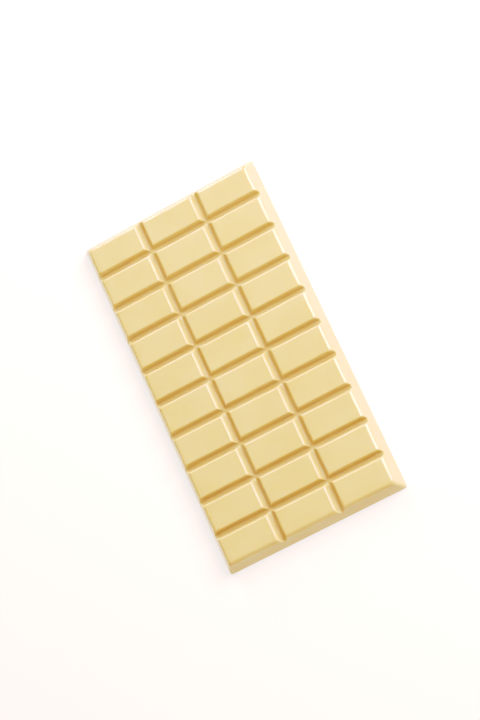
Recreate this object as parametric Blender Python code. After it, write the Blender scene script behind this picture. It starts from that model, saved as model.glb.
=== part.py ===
"""A plain moulded white chocolate bar, lying on its flat back.

The bar is one solid: a slab with sloping flanks, parted into blocks by rounded
grooves that run out through the flanks. Metres, +Z up. The length lies along Y,
the width along X, and the origin is at the middle of the flat back.
"""

import math

import bmesh
import bpy

# Driving dimensions, in metres.
COLUMNS = 3
ROWS = 10
COLUMN_PITCH = 0.0262
ROW_PITCH = 0.0148
THICKNESS = 0.0075
FLANK_INSET = 0.0030
PLAN_CORNER_RADIUS = 0.0013
TOP_EDGE_RADIUS = 0.0020
BACK_EDGE_RADIUS = 0.0005
GROOVE_DEPTH = 0.0024
COLUMN_GROOVE_WIDTH = 0.0039
ROW_GROOVE_WIDTH = 0.0035
GROOVE_FLOOR_WIDTH = 0.0012
GROOVE_LIP_RADIUS = 0.0005
GROOVE_FLOOR_RADIUS = 0.0004

# Facets of each rounding, the least angle of a sharp edge, and how far a cutter reaches past the bar.
EDGE_STEPS = 4
CORNER_STEPS = 4
GROOVE_STEPS = 3
SHARP_ANGLE = math.radians(40)
CUTTER_MARGIN = 0.002

WHITE_CHOCOLATE = (0.80, 0.64, 0.36, 1.0)
CHOCOLATE_ROUGHNESS = 0.35


def clear_scene():
    """Removes every object of the scene."""
    for obj in list(bpy.data.objects):
        bpy.data.objects.remove(obj, do_unlink=True)


def chocolate_material():
    """Plain satin white chocolate."""
    material = bpy.data.materials.new("white_chocolate")
    material.use_nodes = True
    shader = material.node_tree.nodes["Principled BSDF"]
    shader.inputs["Base Color"].default_value = WHITE_CHOCOLATE
    shader.inputs["Roughness"].default_value = CHOCOLATE_ROUGHNESS
    shader.inputs["Metallic"].default_value = 0.0
    return material


def rounded_path(corners, radii, steps):
    """The flat path through corners, each inner one replaced by an arc of its radius."""
    path = [corners[0]]
    for before, corner, after, radius in zip(corners, corners[1:], corners[2:], radii):
        incoming = math.atan2(corner[1] - before[1], corner[0] - before[0])
        outgoing = math.atan2(after[1] - corner[1], after[0] - corner[0])
        turn = math.remainder(outgoing - incoming, math.tau)
        side = math.copysign(radius, turn)
        reach = radius * math.tan(abs(turn) / 2)
        start = (corner[0] - reach * math.cos(incoming), corner[1] - reach * math.sin(incoming))
        centre = (start[0] - side * math.sin(incoming), start[1] + side * math.cos(incoming))
        for step in range(steps + 1):
            angle = incoming + turn * step / steps
            path.append((centre[0] + side * math.sin(angle), centre[1] - side * math.cos(angle)))
    path.append(corners[-1])
    return path


def rounded_rectangle(half_width, half_length, radius, height):
    """The outline of one level of the slab, counter-clockwise seen from above."""
    outline = []
    for quarter, (sx, sy) in enumerate([(1, 1), (-1, 1), (-1, -1), (1, -1)]):
        for step in range(CORNER_STEPS + 1):
            angle = math.pi / 2 * (quarter + step / CORNER_STEPS)
            x = sx * (half_width - radius) + radius * math.cos(angle)
            y = sy * (half_length - radius) + radius * math.sin(angle)
            outline.append((x, y, height))
    return outline


def lofted_mesh(name, rings):
    """A closed, smooth-shaded mesh through rings of equal point count, with both ends filled."""
    mesh = bpy.data.meshes.new(name)
    bm = bmesh.new()
    loops = []
    for ring in rings:
        verts = [bm.verts.new(point) for point in ring]
        loops.append([bm.edges.new(pair) for pair in zip(verts, verts[1:] + verts[:1])])
    for lower, upper in zip(loops, loops[1:]):
        bmesh.ops.bridge_loops(bm, edges=lower + upper)
    bmesh.ops.holes_fill(bm, edges=loops[0] + loops[-1])
    bmesh.ops.recalc_face_normals(bm, faces=bm.faces)
    bm.to_mesh(mesh)
    bm.free()
    mesh.shade_smooth()
    mesh.set_sharp_from_angle(angle=SHARP_ANGLE)
    return mesh


def slab(half_width, half_length, material):
    """The whole bar before its grooves: flat back, sloping flanks, flat top, rounded edges."""
    inner = FLANK_INSET + TOP_EDGE_RADIUS
    corners = [(inner, 0), (0, 0), (FLANK_INSET, THICKNESS), (inner, THICKNESS)]
    section = rounded_path(corners, [BACK_EDGE_RADIUS, TOP_EDGE_RADIUS], EDGE_STEPS)
    rings = [
        rounded_rectangle(half_width - inset, half_length - inset, PLAN_CORNER_RADIUS, height)
        for inset, height in section[1:-1]
    ]
    mesh = lofted_mesh("chocolate_bar", rings)
    mesh.materials.append(material)
    obj = bpy.data.objects.new("chocolate_bar", mesh)
    bpy.context.scene.collection.objects.link(obj)
    return obj


def groove_section(width):
    """A groove's cross-section from lip to lip as (across, height), with rounded lips and floor."""
    lip, floor = width / 2, GROOVE_FLOOR_WIDTH / 2
    bottom = THICKNESS - GROOVE_DEPTH
    corners = [(-2 * lip, THICKNESS), (-lip, THICKNESS), (-floor, bottom), (0, bottom)]
    left = rounded_path(corners, [GROOVE_LIP_RADIUS, GROOVE_FLOOR_RADIUS], GROOVE_STEPS)[1:-1]
    return left + [(-across, height) for across, height in reversed(left)]


def groove_cutter(name, width, place, half_reach, along_bar, collection):
    """A straight cutter for one groove, lying along the bar or across it."""
    section = groove_section(width)
    above = THICKNESS + CUTTER_MARGIN
    section = [(section[0][0], above)] + section + [(section[-1][0], above)]
    rings = []
    for end in (-half_reach - CUTTER_MARGIN, half_reach + CUTTER_MARGIN):
        if along_bar:
            rings.append([(place + across, end, height) for across, height in section])
        else:
            rings.append([(end, place + across, height) for across, height in section])
    cutter = bpy.data.objects.new(name, lofted_mesh(name, rings))
    cutter.hide_render = True
    cutter.display_type = "WIRE"
    collection.objects.link(cutter)


def main():
    clear_scene()
    half_width = (COLUMNS * COLUMN_PITCH - COLUMN_GROOVE_WIDTH) / 2 + FLANK_INSET
    half_length = (ROWS * ROW_PITCH - ROW_GROOVE_WIDTH) / 2 + FLANK_INSET
    bar = slab(half_width, half_length, chocolate_material())

    cutters = bpy.data.collections.new("groove_cutters")
    bpy.context.scene.collection.children.link(cutters)
    for index in range(1, COLUMNS):
        place = (index - COLUMNS / 2) * COLUMN_PITCH
        name = f"column_groove_{index}"
        groove_cutter(name, COLUMN_GROOVE_WIDTH, place, half_length, True, cutters)
    for index in range(1, ROWS):
        place = (index - ROWS / 2) * ROW_PITCH
        name = f"row_groove_{index}"
        groove_cutter(name, ROW_GROOVE_WIDTH, place, half_width, False, cutters)

    cut = bar.modifiers.new("grooves", "BOOLEAN")
    cut.operation = "DIFFERENCE"
    cut.solver = "EXACT"
    cut.operand_type = "COLLECTION"
    cut.collection = cutters


if __name__ == "__main__":
    main()
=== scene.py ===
"""A plain moulded white chocolate bar on a pale studio floor, laid out as a Blender add-on.

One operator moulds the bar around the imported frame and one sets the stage. Metres, +Z up.
"""

import math

import bpy
import numpy as np
from bpy.props import FloatProperty, FloatVectorProperty, IntProperty, PointerProperty
from bpy.types import Operator, Panel, PropertyGroup
from mathutils import Euler, Matrix, Vector


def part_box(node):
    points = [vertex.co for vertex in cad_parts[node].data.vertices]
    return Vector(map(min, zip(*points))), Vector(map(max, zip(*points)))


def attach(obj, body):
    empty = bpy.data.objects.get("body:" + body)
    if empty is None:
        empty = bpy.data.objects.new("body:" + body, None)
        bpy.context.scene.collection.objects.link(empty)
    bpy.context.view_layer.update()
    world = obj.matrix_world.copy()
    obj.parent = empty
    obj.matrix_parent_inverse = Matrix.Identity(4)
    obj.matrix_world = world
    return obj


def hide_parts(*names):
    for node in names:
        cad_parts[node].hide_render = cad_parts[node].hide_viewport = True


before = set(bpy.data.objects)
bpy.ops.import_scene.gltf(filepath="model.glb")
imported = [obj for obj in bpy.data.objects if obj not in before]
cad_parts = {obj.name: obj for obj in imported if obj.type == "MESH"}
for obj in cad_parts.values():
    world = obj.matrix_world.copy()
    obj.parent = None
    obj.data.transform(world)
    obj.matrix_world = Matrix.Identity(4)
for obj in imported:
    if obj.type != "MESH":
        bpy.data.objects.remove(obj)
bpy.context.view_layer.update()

bl_info = {
    "name": "Moulded Chocolate Bar",
    "version": (1, 0, 0),
    "blender": (4, 5, 0),
    "location": "View3D > Sidebar > Chocolate",
    "description": "Moulds a plain white chocolate bar and sets a pale studio around it",
    "category": "Object",
}

# Film tone: a soft S over the light levels, with a late and steeper rise to full white
TONE_WHITE = 1.04  # light that comes out as full white
TONE_MIDDLE = 0.42  # light at which the S bends over
TONE_CONTRAST = 2.05  # steepness of the S
TONE_RISE = 0.12  # share of the tone that the late rise adds
TONE_LATENESS = 10.5  # how near to white the late rise stays
TONE_POINTS = 24  # parts that the curve is drawn in

# Fineness of the grid that carries the skin
BACK_ARC_RINGS = 4
TOP_ARC_RINGS = 8
SLOPE_RINGS = 11
UNDER_ARC_RINGS = 7
FAN_LINES = 25  # grid lines over one groove
FAN_MARGIN = 0.0008  # how far they reach past its lips
FACE_LINE_GAP = 0.0018
FACE_LINES_LEAST = 3

# Slow unevenness: the wave lengths that are summed, and the seed of their directions
FACE_WAVE_LENGTHS = (0.031, 0.023, 0.017, 0.012)
FACE_WAVE_SEED = 5
BACK_WAVE_LENGTHS = (0.055, 0.037, 0.029, 0.021, 0.013)
BACK_WAVE_SEED = 11
BACK_WAVE_FADE = 0.004  # width of the band along the rim where the waves fade in
DOME_POWER = 6  # the higher, the flatter a face stays before it falls at its edges

# Fine points of the materials
GLOSSIER = 0.05  # how far the roughness goes below its mean
DULLER = 0.06  # and above it
GRAIN_HEIGHT = 0.0001
CLOUD_GAIN = 1.01  # how much paler the floor's clouds are

BAR_LOW, BAR_HIGH = (Vector(corner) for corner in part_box("chocolate_bar"))


def length(name, description, default):
    """A length property in metres."""
    return FloatProperty(
        name=name,
        description=description,
        default=default,
        min=0,
        unit="LENGTH",
        subtype="DISTANCE",
        precision=5,
    )


def colour(name, description, default):
    """A linear colour property."""
    return FloatVectorProperty(
        name=name, description=description, default=default, size=3, min=0, max=1, subtype="COLOR"
    )


def angle(name, description, degrees):
    """An angle property, given in degrees."""
    return FloatProperty(
        name=name, description=description, default=math.radians(degrees), unit="ROTATION", subtype="ANGLE"
    )


def amount(name, description, default, largest=1.0):
    """A plain number property from 0 to largest."""
    return FloatProperty(name=name, description=description, default=default, min=0, max=largest, precision=3)


class ChocolateSizes(PropertyGroup):
    """Sizes of the moulded bar. Its outline and thickness come from the frame."""

    columns: IntProperty(name="Columns", description="Blocks across the width", default=3, min=1)
    rows: IntProperty(name="Rows", description="Blocks along the length", default=10, min=1)
    column_pitch: length("Column pitch", "Distance between the grooves along the bar", 0.0262)
    row_pitch: length("Row pitch", "Distance between the grooves across the bar", 0.0148)
    groove_depth: length("Groove depth", "Depth of every groove below the block faces", 0.0024)
    column_groove: length("Long groove width", "Width of a groove along the bar, at the faces", 0.0039)
    row_groove: length("Cross groove width", "Width of a groove across the bar, at the faces", 0.0035)
    groove_floor: length("Groove floor width", "Width of the flat at the bottom of a groove", 0.0012)
    lip_ease: length("Lip ease", "Height over which a block edge is rounded", 0.0007)
    floor_ease: length("Floor ease", "Height over which a groove floor is rounded", 0.0004)
    block_corner_ease: length("Block corner ease", "Height over which two walls of a block merge", 0.0007)
    flank_inset: length("Flank inset", "How far the sloping flanks lean in", 0.0030)
    top_edge_radius: length("Top edge radius", "Rounding between the flanks and the faces", 0.0020)
    back_edge_radius: length("Back edge radius", "Rounding between the flanks and the back", 0.0005)
    plan_corner_radius: length("Plan corner radius", "Rounding of the four upright corners", 0.0013)
    face_dome: length("Face dome", "How much a block face falls towards its edges", 0.00012)
    face_waves: length("Face waves", "Height of the slow unevenness of the faces", 0.00002)
    back_waves: length("Back waves", "Height of the slow unevenness of the poured back", 0.00010)


class ChocolateLook(PropertyGroup):
    """Colours and finish of white chocolate, with the painted shade in its grooves."""

    face: colour("Face colour", "Plain white chocolate", (0.80, 0.645, 0.372))
    mottle: colour("Mottle colour", "Slightly deeper patches", (0.78, 0.62, 0.345))
    # Painted shade: a deeper gold that the colour turns to down in the grooves, where shade falls.
    groove: colour("Groove colour", "Deep gold at the bottom of a groove", (0.67, 0.51, 0.28))
    roughness: amount("Roughness", "Mean roughness of the satin surface", 0.2)
    subsurface: amount("Subsurface", "Share of light that travels under the surface", 1.0)
    subsurface_scale: length("Subsurface scale", "How far light travels under the surface", 0.0007)


class StudioSetup(PropertyGroup):
    """Floor, light and camera."""

    floor_size: length("Floor size", "Side of the square floor", 8.0)
    floor_colour: colour("Floor colour", "Pale matt table", (0.4, 0.4, 0.4))
    glow_colour: colour("Glow colour", "Tint of the light that the table gives off", (1.0, 0.95, 0.94))
    floor_glow: amount("Floor glow", "Light that the floor gives off, as a lit table does", 0.68, 2)
    sky_light: amount("Sky light", "Brightness of the even light all around", 0.45, 10)
    sky_colour: colour("Sky colour", "Tint of the even light all around", (1.0, 0.79, 0.53))
    backdrop: amount("Backdrop", "Brightness of the plain background behind the floor", 0.86, 2)
    backdrop_colour: colour("Backdrop colour", "Tint of the plain background", (1.0, 0.92, 0.86))
    lamp_colour: colour("Lamp colour", "Tint of the soft lamps", (0.93, 0.92, 1.0))
    lamp_distance: length("Lamp distance", "Distance of the soft lamps from the bar", 0.9)
    side_power: amount("Side power", "Watts of the softbox that glints on the long edges", 8.0, 1000)
    end_power: amount("End power", "Watts of the softbox that glints on the cross edges", 3.2, 1000)
    camera_distance: length("Camera distance", "From the aim point to the camera", 0.7904)
    camera_azimuth: angle("Camera azimuth", "Direction of the camera, from +X towards +Y", -49.55)
    camera_height: angle("Camera height", "Angle of the camera above the floor", 71.99)
    camera_roll: angle("Camera roll", "Turn of the picture about the line of sight", -66.68)
    camera_lens: FloatProperty(
        name="Lens",
        description="Focal length in millimetres",
        default=97.5,
        min=1,
        unit="CAMERA",
        subtype="NONE",
    )
    aim: FloatVectorProperty(
        name="Aim",
        description="Point on the bar that the camera looks at",
        default=(0.00103, 0.0014, (BAR_LOW.z + BAR_HIGH.z) / 2),
        size=3,
        unit="LENGTH",
        subtype="TRANSLATION",
    )


# Shape of the bar


def soft_min(a, b, reach):
    """The lower of a and b; where they differ by less than reach, a parabola joins them smoothly."""
    ease = np.maximum(reach - np.abs(a - b), 0) / reach
    return np.minimum(a, b) - ease**2 * reach / 4


def soft_max(a, b, reach):
    """The higher of a and b, joined like soft_min."""
    return -soft_min(-a, -b, reach)


def eased(share):
    """A share from 0 to 1, eased at both ends."""
    return share**2 * (3 - 2 * share)


def slow_waves(x, y, lengths, seed):
    """Unevenness between -1 and 1: the mean of plane sine waves of the given lengths in seeded directions."""
    draw = np.random.default_rng(seed)
    total = np.zeros(np.broadcast(x, y).shape)
    for wave_length in lengths:
        heading, phase = draw.uniform(0, math.tau, 2)
        along = x * math.cos(heading) + y * math.sin(heading)
        total += np.sin(math.tau * along / wave_length + phase)
    return total / len(lengths)


def arc(centre, radius, first, last, steps):
    """Points (inset, height) on a circle arc: inset falls with the cosine, height rises with the sine."""
    turn = np.linspace(first, last, steps)
    return centre[0] - radius * np.cos(turn), centre[1] + radius * np.sin(turn)


def flank_rings(sizes, thickness):
    """Insets and heights of the rings that climb a flank, and of those that curl under to the back.

    Seen in section, the flank is a straight line that leans in by flank_inset over the thickness. A
    circle of back_edge_radius touches it and the back, and one of top_edge_radius touches it and the
    face. Both lists start at the widest point, and both have the same number of rings.
    """
    lean = math.atan2(sizes.flank_inset, thickness)
    low, high = sizes.back_edge_radius, sizes.top_edge_radius
    low_centre = (low * (1 + math.sin(lean)) / math.cos(lean), low)
    high_level = thickness - high
    high_centre = ((high + high_level * math.sin(lean)) / math.cos(lean), high_level)
    low_arc = arc(low_centre, low, 0, lean, BACK_ARC_RINGS)
    high_arc = arc(high_centre, high, lean, math.pi / 2, TOP_ARC_RINGS)
    share = np.linspace(0, 1, SLOPE_RINGS + 2)[1:-1]
    straight = [a[-1] + (b[0] - a[-1]) * share for a, b in zip(low_arc, high_arc)]
    climb = [np.concatenate(parts) for parts in zip(low_arc, straight, high_arc)]

    under_arc = arc(low_centre, low, 0, -math.pi / 2, UNDER_ARC_RINGS)
    rest = climb[0].size - under_arc[0].size
    flat = np.linspace(under_arc[0][-1], climb[0][-1], rest + 1)[1:]
    under = [np.concatenate([under_arc[0], flat]), np.concatenate([under_arc[1], np.zeros(rest)])]
    return climb, under


def lines_across(half, climb_insets, pitch, count, groove_width):
    """Places of the grid lines along one axis: each flank's rings, each groove's fan and each face's few."""
    fan = np.linspace(-1, 1, FAN_LINES) * (groove_width / 2 + FAN_MARGIN)
    grooves = (np.arange(1, count) - count / 2) * pitch
    edge = half - climb_insets
    lows = np.concatenate([[-edge[-1]], grooves + fan[-1]])
    highs = np.concatenate([grooves + fan[0], [edge[-1]]])
    per_face = max(FACE_LINES_LEAST, round((highs[0] - lows[0]) / FACE_LINE_GAP))
    faces = np.linspace(lows, highs, per_face + 2)[1:-1]
    fans = np.add.outer(grooves, fan)
    return np.sort(np.concatenate([-edge, fans.ravel(), faces.ravel(), edge]))


def corner_level(a, b, radius):
    """How deep a point lies inside a corner rounded by radius; a and b are its insets from both edges."""
    apart = np.minimum(np.abs(a - b), radius)
    rounded = (a + b + np.sqrt(2 * radius**2 - apart**2)) / 2 - radius
    return np.where(np.abs(a - b) < radius, rounded, np.minimum(a, b))


def ring_sheet(line_x, line_y, halves, lateral, insets, heights, radius):
    """One sheet of the bar's skin on the grid of line_x by line_y.

    A vertex belongs to the ring that is the nearer of its two lines to the rim. It lies at the ring's
    inset and height, and its place along the ring is squeezed in step with the ring. Near a corner it
    is pushed in along the diagonal until the ring turns on a circle of the given radius.
    """
    last = lateral.size - 1
    count_x, count_y = line_x.size, line_y.size
    order_x = np.minimum(np.arange(count_x), np.arange(count_x)[::-1])
    order_y = np.minimum(np.arange(count_y), np.arange(count_y)[::-1])
    ring = np.minimum(np.minimum.outer(order_x, order_y), last)
    ring_inset, ring_lateral = insets[ring], lateral[ring]
    end = lateral[-1]
    squeeze = (end - ring_inset) / np.maximum(end - ring_lateral, 1e-9)

    def inset_of(line, half):
        own = half - np.abs(line)
        return np.where(own < end, ring_inset + (own - ring_lateral) * squeeze, own)

    a = inset_of(line_x[:, None], halves[0])
    b = inset_of(line_y[None, :], halves[1])
    nearest = np.minimum(a, b)
    fade = np.clip((2 * end - nearest) / end, 0, 1)
    push = (nearest - corner_level(a, b, radius)) * eased(fade)
    x = np.sign(line_x)[:, None] * (halves[0] - a - push)
    y = np.sign(line_y)[None, :] * (halves[1] - b - push)
    return x, y, heights[ring], nearest


def groove_wall(place, pitch, count, width, sizes, thickness):
    """Height of the groove walls over one axis: a V that passes through the face level at both lips."""
    nearest = np.clip(np.round(place / pitch + count / 2), 1, count - 1)
    away = np.abs(place - (nearest - count / 2) * pitch)
    steepness = sizes.groove_depth / (width - sizes.groove_floor) * 2
    return thickness + (away - width / 2) * steepness


def moulded_top(x, y, slab, sizes, thickness):
    """Height of the moulded side and how deep each point lies in a groove, from 0 to 1.

    The grooves are the lower of the two sets of walls, stopped by a level floor. The surface is the
    lower of the slab and the grooves, so a groove runs out through a flank by itself.
    """
    across = (x / sizes.column_pitch + sizes.columns / 2) % 1 * 2 - 1
    along = (y / sizes.row_pitch + sizes.rows / 2) % 1 * 2 - 1
    dome = sizes.face_dome * (across**DOME_POWER + along**DOME_POWER) / 2
    uneven = sizes.face_waves * slow_waves(x, y, FACE_WAVE_LENGTHS, FACE_WAVE_SEED)
    slab = slab + (uneven - dome) * np.clip(slab / thickness, 0, 1) ** 2

    walls = soft_min(
        groove_wall(x, sizes.column_pitch, sizes.columns, sizes.column_groove, sizes, thickness),
        groove_wall(y, sizes.row_pitch, sizes.rows, sizes.row_groove, sizes, thickness),
        sizes.block_corner_ease,
    )
    grooves = soft_max(walls, thickness - sizes.groove_depth, sizes.floor_ease)
    height = soft_min(slab, grooves, sizes.lip_ease)
    return height, np.clip((slab - height) / sizes.groove_depth, 0, 1)


def poured_back(x, y, height, inset, sizes):
    """Height of the poured back: faint slow waves, none below the lowest point and none at the rim."""
    waves = slow_waves(x, y, BACK_WAVE_LENGTHS, BACK_WAVE_SEED)
    fade = np.clip((inset - sizes.back_edge_radius * 2) / BACK_WAVE_FADE, 0, 1)
    return height + sizes.back_waves * (1 + waves) / 2 * eased(fade)


def bar_mesh(sizes):
    """The whole bar as one closed skin: a top sheet and a back sheet on one grid, sharing the rim."""
    thickness = BAR_HIGH.z - BAR_LOW.z
    climb, under = flank_rings(sizes, thickness)
    overhang = climb[0][0]
    halves = [(high - low) / 2 + overhang for low, high in zip(BAR_LOW.xy, BAR_HIGH.xy)]
    line_x = lines_across(halves[0], climb[0], sizes.column_pitch, sizes.columns, sizes.column_groove)
    line_y = lines_across(halves[1], climb[0], sizes.row_pitch, sizes.rows, sizes.row_groove)
    radius = sizes.plan_corner_radius

    x, y, slab, _ = ring_sheet(line_x, line_y, halves, climb[0], *climb, radius)
    height, groove = moulded_top(x, y, slab, sizes, thickness)
    top = np.stack([x, y, height + BAR_LOW.z], axis=-1)
    x, y, height, inset = ring_sheet(line_x, line_y, halves, climb[0], *under, radius)
    height = poured_back(x, y, height, inset, sizes)
    back = np.stack([x, y, height + BAR_LOW.z], axis=-1)

    inner = np.zeros(groove.shape, bool)
    inner[1:-1, 1:-1] = True
    top_index = np.arange(groove.size).reshape(groove.shape)
    back_index = top_index.copy()
    back_index[inner] = groove.size + np.arange(inner.sum())
    points = np.concatenate([top.reshape(-1, 3), back[inner]])
    depth = np.concatenate([groove.ravel(), np.zeros(inner.sum())])
    quads = np.concatenate([quads_of(top_index), quads_of(back_index)[:, ::-1]])

    mesh = bpy.data.meshes.new("moulded_bar")
    mesh.from_pydata(points, [], quads)
    # How deep each point lies in a groove; the chocolate material paints shade into the grooves from it.
    attribute = mesh.attributes.new("groove_depth", "FLOAT", "POINT")
    attribute.data.foreach_set("value", depth.astype(np.float32))
    mesh.shade_smooth()
    mesh.update()
    return mesh


def quads_of(index):
    """The four corners of each cell of a grid of vertex numbers, counter-clockwise seen from above."""
    corners = [index[:-1, :-1], index[1:, :-1], index[1:, 1:], index[:-1, 1:]]
    return np.stack(corners, axis=-1).reshape(-1, 4)


# Materials


def new_material(name):
    """An empty node material with its output and its Principled shader."""
    material = bpy.data.materials.new(name)
    material.use_nodes = True
    tree = material.node_tree
    return material, tree, tree.nodes["Principled BSDF"]


def noise(tree, place, scale, detail):
    """A noise texture on the given coordinates; scale is in cells per metre."""
    node = tree.nodes.new("ShaderNodeTexNoise")
    node.inputs["Scale"].default_value = scale
    node.inputs["Detail"].default_value = detail
    tree.links.new(place, node.inputs["Vector"])
    return node.outputs["Fac"]


def mapped(tree, value, from_low, from_high, to_low=0.0, to_high=1.0):
    """value carried from one range to another and kept inside it, eased at both ends."""
    node = tree.nodes.new("ShaderNodeMapRange")
    node.interpolation_type = "SMOOTHSTEP"
    ends = {"From Min": from_low, "From Max": from_high, "To Min": to_low, "To Max": to_high}
    for name, number in ends.items():
        node.inputs[name].default_value = number
    tree.links.new(value, node.inputs["Value"])
    return node.outputs["Result"]


def mixed(tree, factor, first, second):
    """A colour between first and second; each is a colour or another node's output."""
    node = tree.nodes.new("ShaderNodeMix")
    node.data_type = "RGBA"
    tree.links.new(factor, node.inputs["Factor"])
    # The node has an A, a B and a Result for each data type; these are the colour ones.
    for socket, value in ((node.inputs[6], first), (node.inputs[7], second)):
        if isinstance(value, bpy.types.NodeSocket):
            tree.links.new(value, socket)
        else:
            socket.default_value = (*value, 1)
    return node.outputs[2]


def chocolate_material(look):
    """White chocolate: faint mottling, painted shade as a deeper gold down in the grooves, satin gloss, soft
    light inside.
    """
    material, tree, shader = new_material("white_chocolate")
    place = tree.nodes.new("ShaderNodeTexCoord").outputs["Object"]
    depth = tree.nodes.new("ShaderNodeAttribute")
    depth.attribute_name = "groove_depth"

    patches = mapped(tree, noise(tree, place, scale=70, detail=3), from_low=0.35, from_high=0.7)
    plain = mixed(tree, patches, look.face, look.mottle)
    # Painted shade: the colour turns to a deeper gold with the depth in a groove, standing in for the shade
    # that falls there.
    painted_groove_shade = mapped(tree, depth.outputs["Fac"], from_low=0.1, from_high=1.0)
    tree.links.new(mixed(tree, painted_groove_shade, plain, look.groove), shader.inputs["Base Color"])

    clouding = noise(tree, place, scale=160, detail=4)
    gloss = mapped(tree, clouding, 0.3, 0.7, look.roughness - GLOSSIER, look.roughness + DULLER)
    tree.links.new(gloss, shader.inputs["Roughness"])

    bump = tree.nodes.new("ShaderNodeBump")
    bump.inputs["Strength"].default_value = 0.25
    bump.inputs["Distance"].default_value = GRAIN_HEIGHT
    tree.links.new(noise(tree, place, scale=900, detail=3), bump.inputs["Height"])
    tree.links.new(bump.outputs["Normal"], shader.inputs["Normal"])

    shader.inputs["IOR"].default_value = 1.5
    shader.inputs["Specular IOR Level"].default_value = 0.8
    shader.inputs["Subsurface Weight"].default_value = look.subsurface
    shader.inputs["Subsurface Radius"].default_value = (1.0, 0.8, 0.55)
    shader.inputs["Subsurface Scale"].default_value = look.subsurface_scale
    return material


def floor_material(studio):
    """A matt lit table with hardly visible clouding."""
    material, tree, shader = new_material("studio_floor")
    place = tree.nodes.new("ShaderNodeTexCoord").outputs["Object"]
    clouds = noise(tree, place, scale=3, detail=2)
    paler = tuple(min(1.0, part * CLOUD_GAIN) for part in studio.floor_colour)
    tree.links.new(mixed(tree, clouds, studio.floor_colour, paler), shader.inputs["Base Color"])
    shader.inputs["Roughness"].default_value = 0.9
    shader.inputs["Specular IOR Level"].default_value = 0.0
    shader.inputs["Emission Color"].default_value = (*studio.glow_colour, 1)
    shader.inputs["Emission Strength"].default_value = studio.floor_glow
    return material


# Operators


class OBJECT_OT_mould_chocolate(Operator):
    """Moulds the bar in place of its plain solid"""

    bl_idname = "chocolate.mould_bar"
    bl_label = "Mould Bar"
    bl_options = {"REGISTER", "UNDO"}

    def execute(self, context):
        scene = context.scene
        bar = bpy.data.objects.new("moulded_bar", bar_mesh(scene.chocolate_sizes))
        bar.data.materials.append(chocolate_material(scene.chocolate_look))
        scene.collection.objects.link(bar)
        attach(bar, "root")
        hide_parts("chocolate_bar")
        return {"FINISHED"}


def direction(azimuth, height):
    """The unit vector at an azimuth from +X towards +Y and an angle above the floor."""
    level = math.cos(height)
    return Vector((level * math.cos(azimuth), level * math.sin(azimuth), math.sin(height)))


def aimed(place, target, roll=0.0):
    """The matrix of an object at place whose -Z looks at target, turned by roll about that line."""
    turn = (target - place).to_track_quat("-Z", "Y").to_matrix()
    turn = turn @ Euler((0, 0, roll)).to_matrix()
    return Matrix.Translation(place) @ turn.to_4x4()


def lay_floor(studio):
    """A wide square floor that the bar lies on."""
    half = studio.floor_size / 2
    corners = [(-half, -half), (half, -half), (half, half), (-half, half)]
    mesh = bpy.data.meshes.new("studio_floor")
    mesh.from_pydata([(x, y, BAR_LOW.z) for x, y in corners], [], [(0, 1, 2, 3)])
    mesh.materials.append(floor_material(studio))
    floor = bpy.data.objects.new("studio_floor", mesh)
    bpy.context.scene.collection.objects.link(floor)


def light_studio(studio):
    """Even light all around, a plain background for the camera and two softboxes."""
    world = bpy.data.worlds.new("studio_light")
    world.use_nodes = True
    nodes, links = world.node_tree.nodes, world.node_tree.links
    even = nodes["Background"]
    even.inputs["Color"].default_value = (*studio.sky_colour, 1)
    even.inputs["Strength"].default_value = studio.sky_light
    behind = nodes.new("ShaderNodeBackground")
    behind.inputs["Strength"].default_value = studio.backdrop
    behind.inputs["Color"].default_value = (*studio.backdrop_colour, 1)
    choose = nodes.new("ShaderNodeMixShader")
    links.new(nodes.new("ShaderNodeLightPath").outputs["Is Camera Ray"], choose.inputs["Fac"])
    links.new(even.outputs["Background"], choose.inputs[1])
    links.new(behind.outputs["Background"], choose.inputs[2])
    links.new(choose.outputs["Shader"], nodes["World Output"].inputs["Surface"])
    bpy.context.scene.world = world

    hang_lamp(studio, "side_softbox", azimuth=19, height=42, size=(0.5, 0.6), power=studio.side_power)
    hang_lamp(studio, "end_softbox", azimuth=100, height=30, size=(0.3, 0.6), power=studio.end_power)


def hang_lamp(studio, name, azimuth, height, size, power):
    """A soft lamp that faces the bar, at an azimuth and a height in degrees; size is width and length."""
    light = bpy.data.lights.new(name, "AREA")
    light.shape = "RECTANGLE"
    light.size, light.size_y = size
    light.energy = power
    light.color = studio.lamp_colour
    lamp = bpy.data.objects.new(name, light)
    centre = Vector(studio.aim)
    outward = direction(math.radians(azimuth), math.radians(height))
    lamp.matrix_world = aimed(centre + outward * studio.lamp_distance, centre)
    bpy.context.scene.collection.objects.link(lamp)


def film_tone(light):
    """The tone of a light level: an S that flattens at the top, and a late rise that ends in full white."""

    def bend(level):
        steep = level**TONE_CONTRAST
        return steep / (steep + TONE_MIDDLE**TONE_CONTRAST)

    late = (light / TONE_WHITE) ** TONE_LATENESS
    return (1 - TONE_RISE) * bend(light) / bend(TONE_WHITE) + TONE_RISE * late


def set_tone(view):
    """Passes the picture's light through film_tone, with a curve that starts as a straight line."""
    view.view_transform = "Standard"
    view.look = "None"
    view.use_curve_mapping = True
    mapping = view.curve_mapping
    mapping.white_level = (TONE_WHITE,) * 3
    # The fourth curve is the one that all three colours share.
    curve = mapping.curves[3]
    for share in np.linspace(0, 1, TONE_POINTS + 1)[1:-1]:
        curve.points.new(share, film_tone(share * TONE_WHITE))
    mapping.update()


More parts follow.
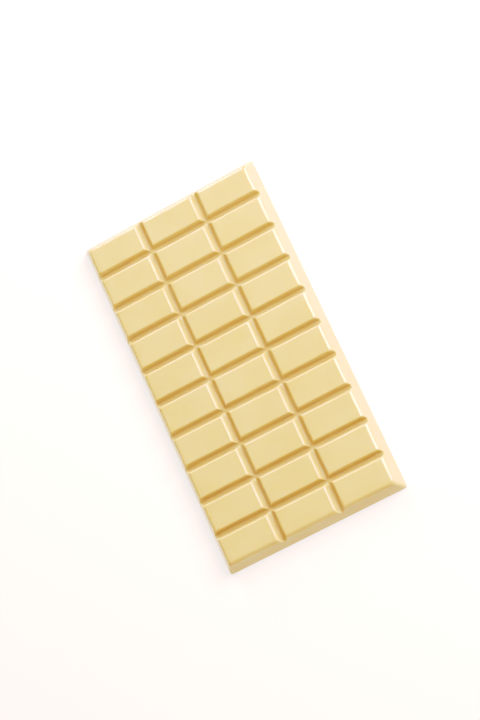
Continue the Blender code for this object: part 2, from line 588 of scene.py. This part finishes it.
def place_camera(studio):
    """A long lens that looks down on the lying bar from its lower right."""
    camera = bpy.data.cameras.new("camera")
    camera.lens = studio.camera_lens
    camera.clip_start = 0.01
    camera.clip_end = 50
    holder = bpy.data.objects.new("camera", camera)
    centre = Vector(studio.aim)
    place = centre + direction(studio.camera_azimuth, studio.camera_height) * studio.camera_distance
    holder.matrix_world = aimed(place, centre, studio.camera_roll)
    bpy.context.scene.collection.objects.link(holder)
    bpy.context.scene.camera = holder


class SCENE_OT_set_chocolate_stage(Operator):
    """Lays the floor, sets the light and places the camera"""

    bl_idname = "chocolate.set_stage"
    bl_label = "Set Stage"
    bl_options = {"REGISTER", "UNDO"}

    def execute(self, context):
        studio = context.scene.chocolate_studio
        lay_floor(studio)
        light_studio(studio)
        place_camera(studio)
        set_tone(context.scene.view_settings)
        return {"FINISHED"}


class VIEW3D_PT_chocolate(Panel):
    """Lists the steps and their settings"""

    bl_label = "Chocolate Bar"
    bl_space_type = "VIEW_3D"
    bl_region_type = "UI"
    bl_category = "Chocolate"

    def draw(self, context):
        scene = context.scene
        steps = (
            (OBJECT_OT_mould_chocolate, (scene.chocolate_sizes, scene.chocolate_look)),
            (SCENE_OT_set_chocolate_stage, (scene.chocolate_studio,)),
        )
        for step, groups in steps:
            box = self.layout.box()
            box.operator(step.bl_idname)
            for group in groups:
                for name in group.__annotations__:
                    box.prop(group, name)


CLASSES = (
    ChocolateSizes,
    ChocolateLook,
    StudioSetup,
    OBJECT_OT_mould_chocolate,
    SCENE_OT_set_chocolate_stage,
    VIEW3D_PT_chocolate,
)


def register():
    for item in CLASSES:
        bpy.utils.register_class(item)
    bpy.types.Scene.chocolate_sizes = PointerProperty(type=ChocolateSizes)
    bpy.types.Scene.chocolate_look = PointerProperty(type=ChocolateLook)
    bpy.types.Scene.chocolate_studio = PointerProperty(type=StudioSetup)


def unregister():
    del bpy.types.Scene.chocolate_studio
    del bpy.types.Scene.chocolate_look
    del bpy.types.Scene.chocolate_sizes
    for item in reversed(CLASSES):
        bpy.utils.unregister_class(item)


def main():
    register()
    bpy.ops.chocolate.mould_bar()
    bpy.ops.chocolate.set_stage()


if __name__ == "__main__":
    main()
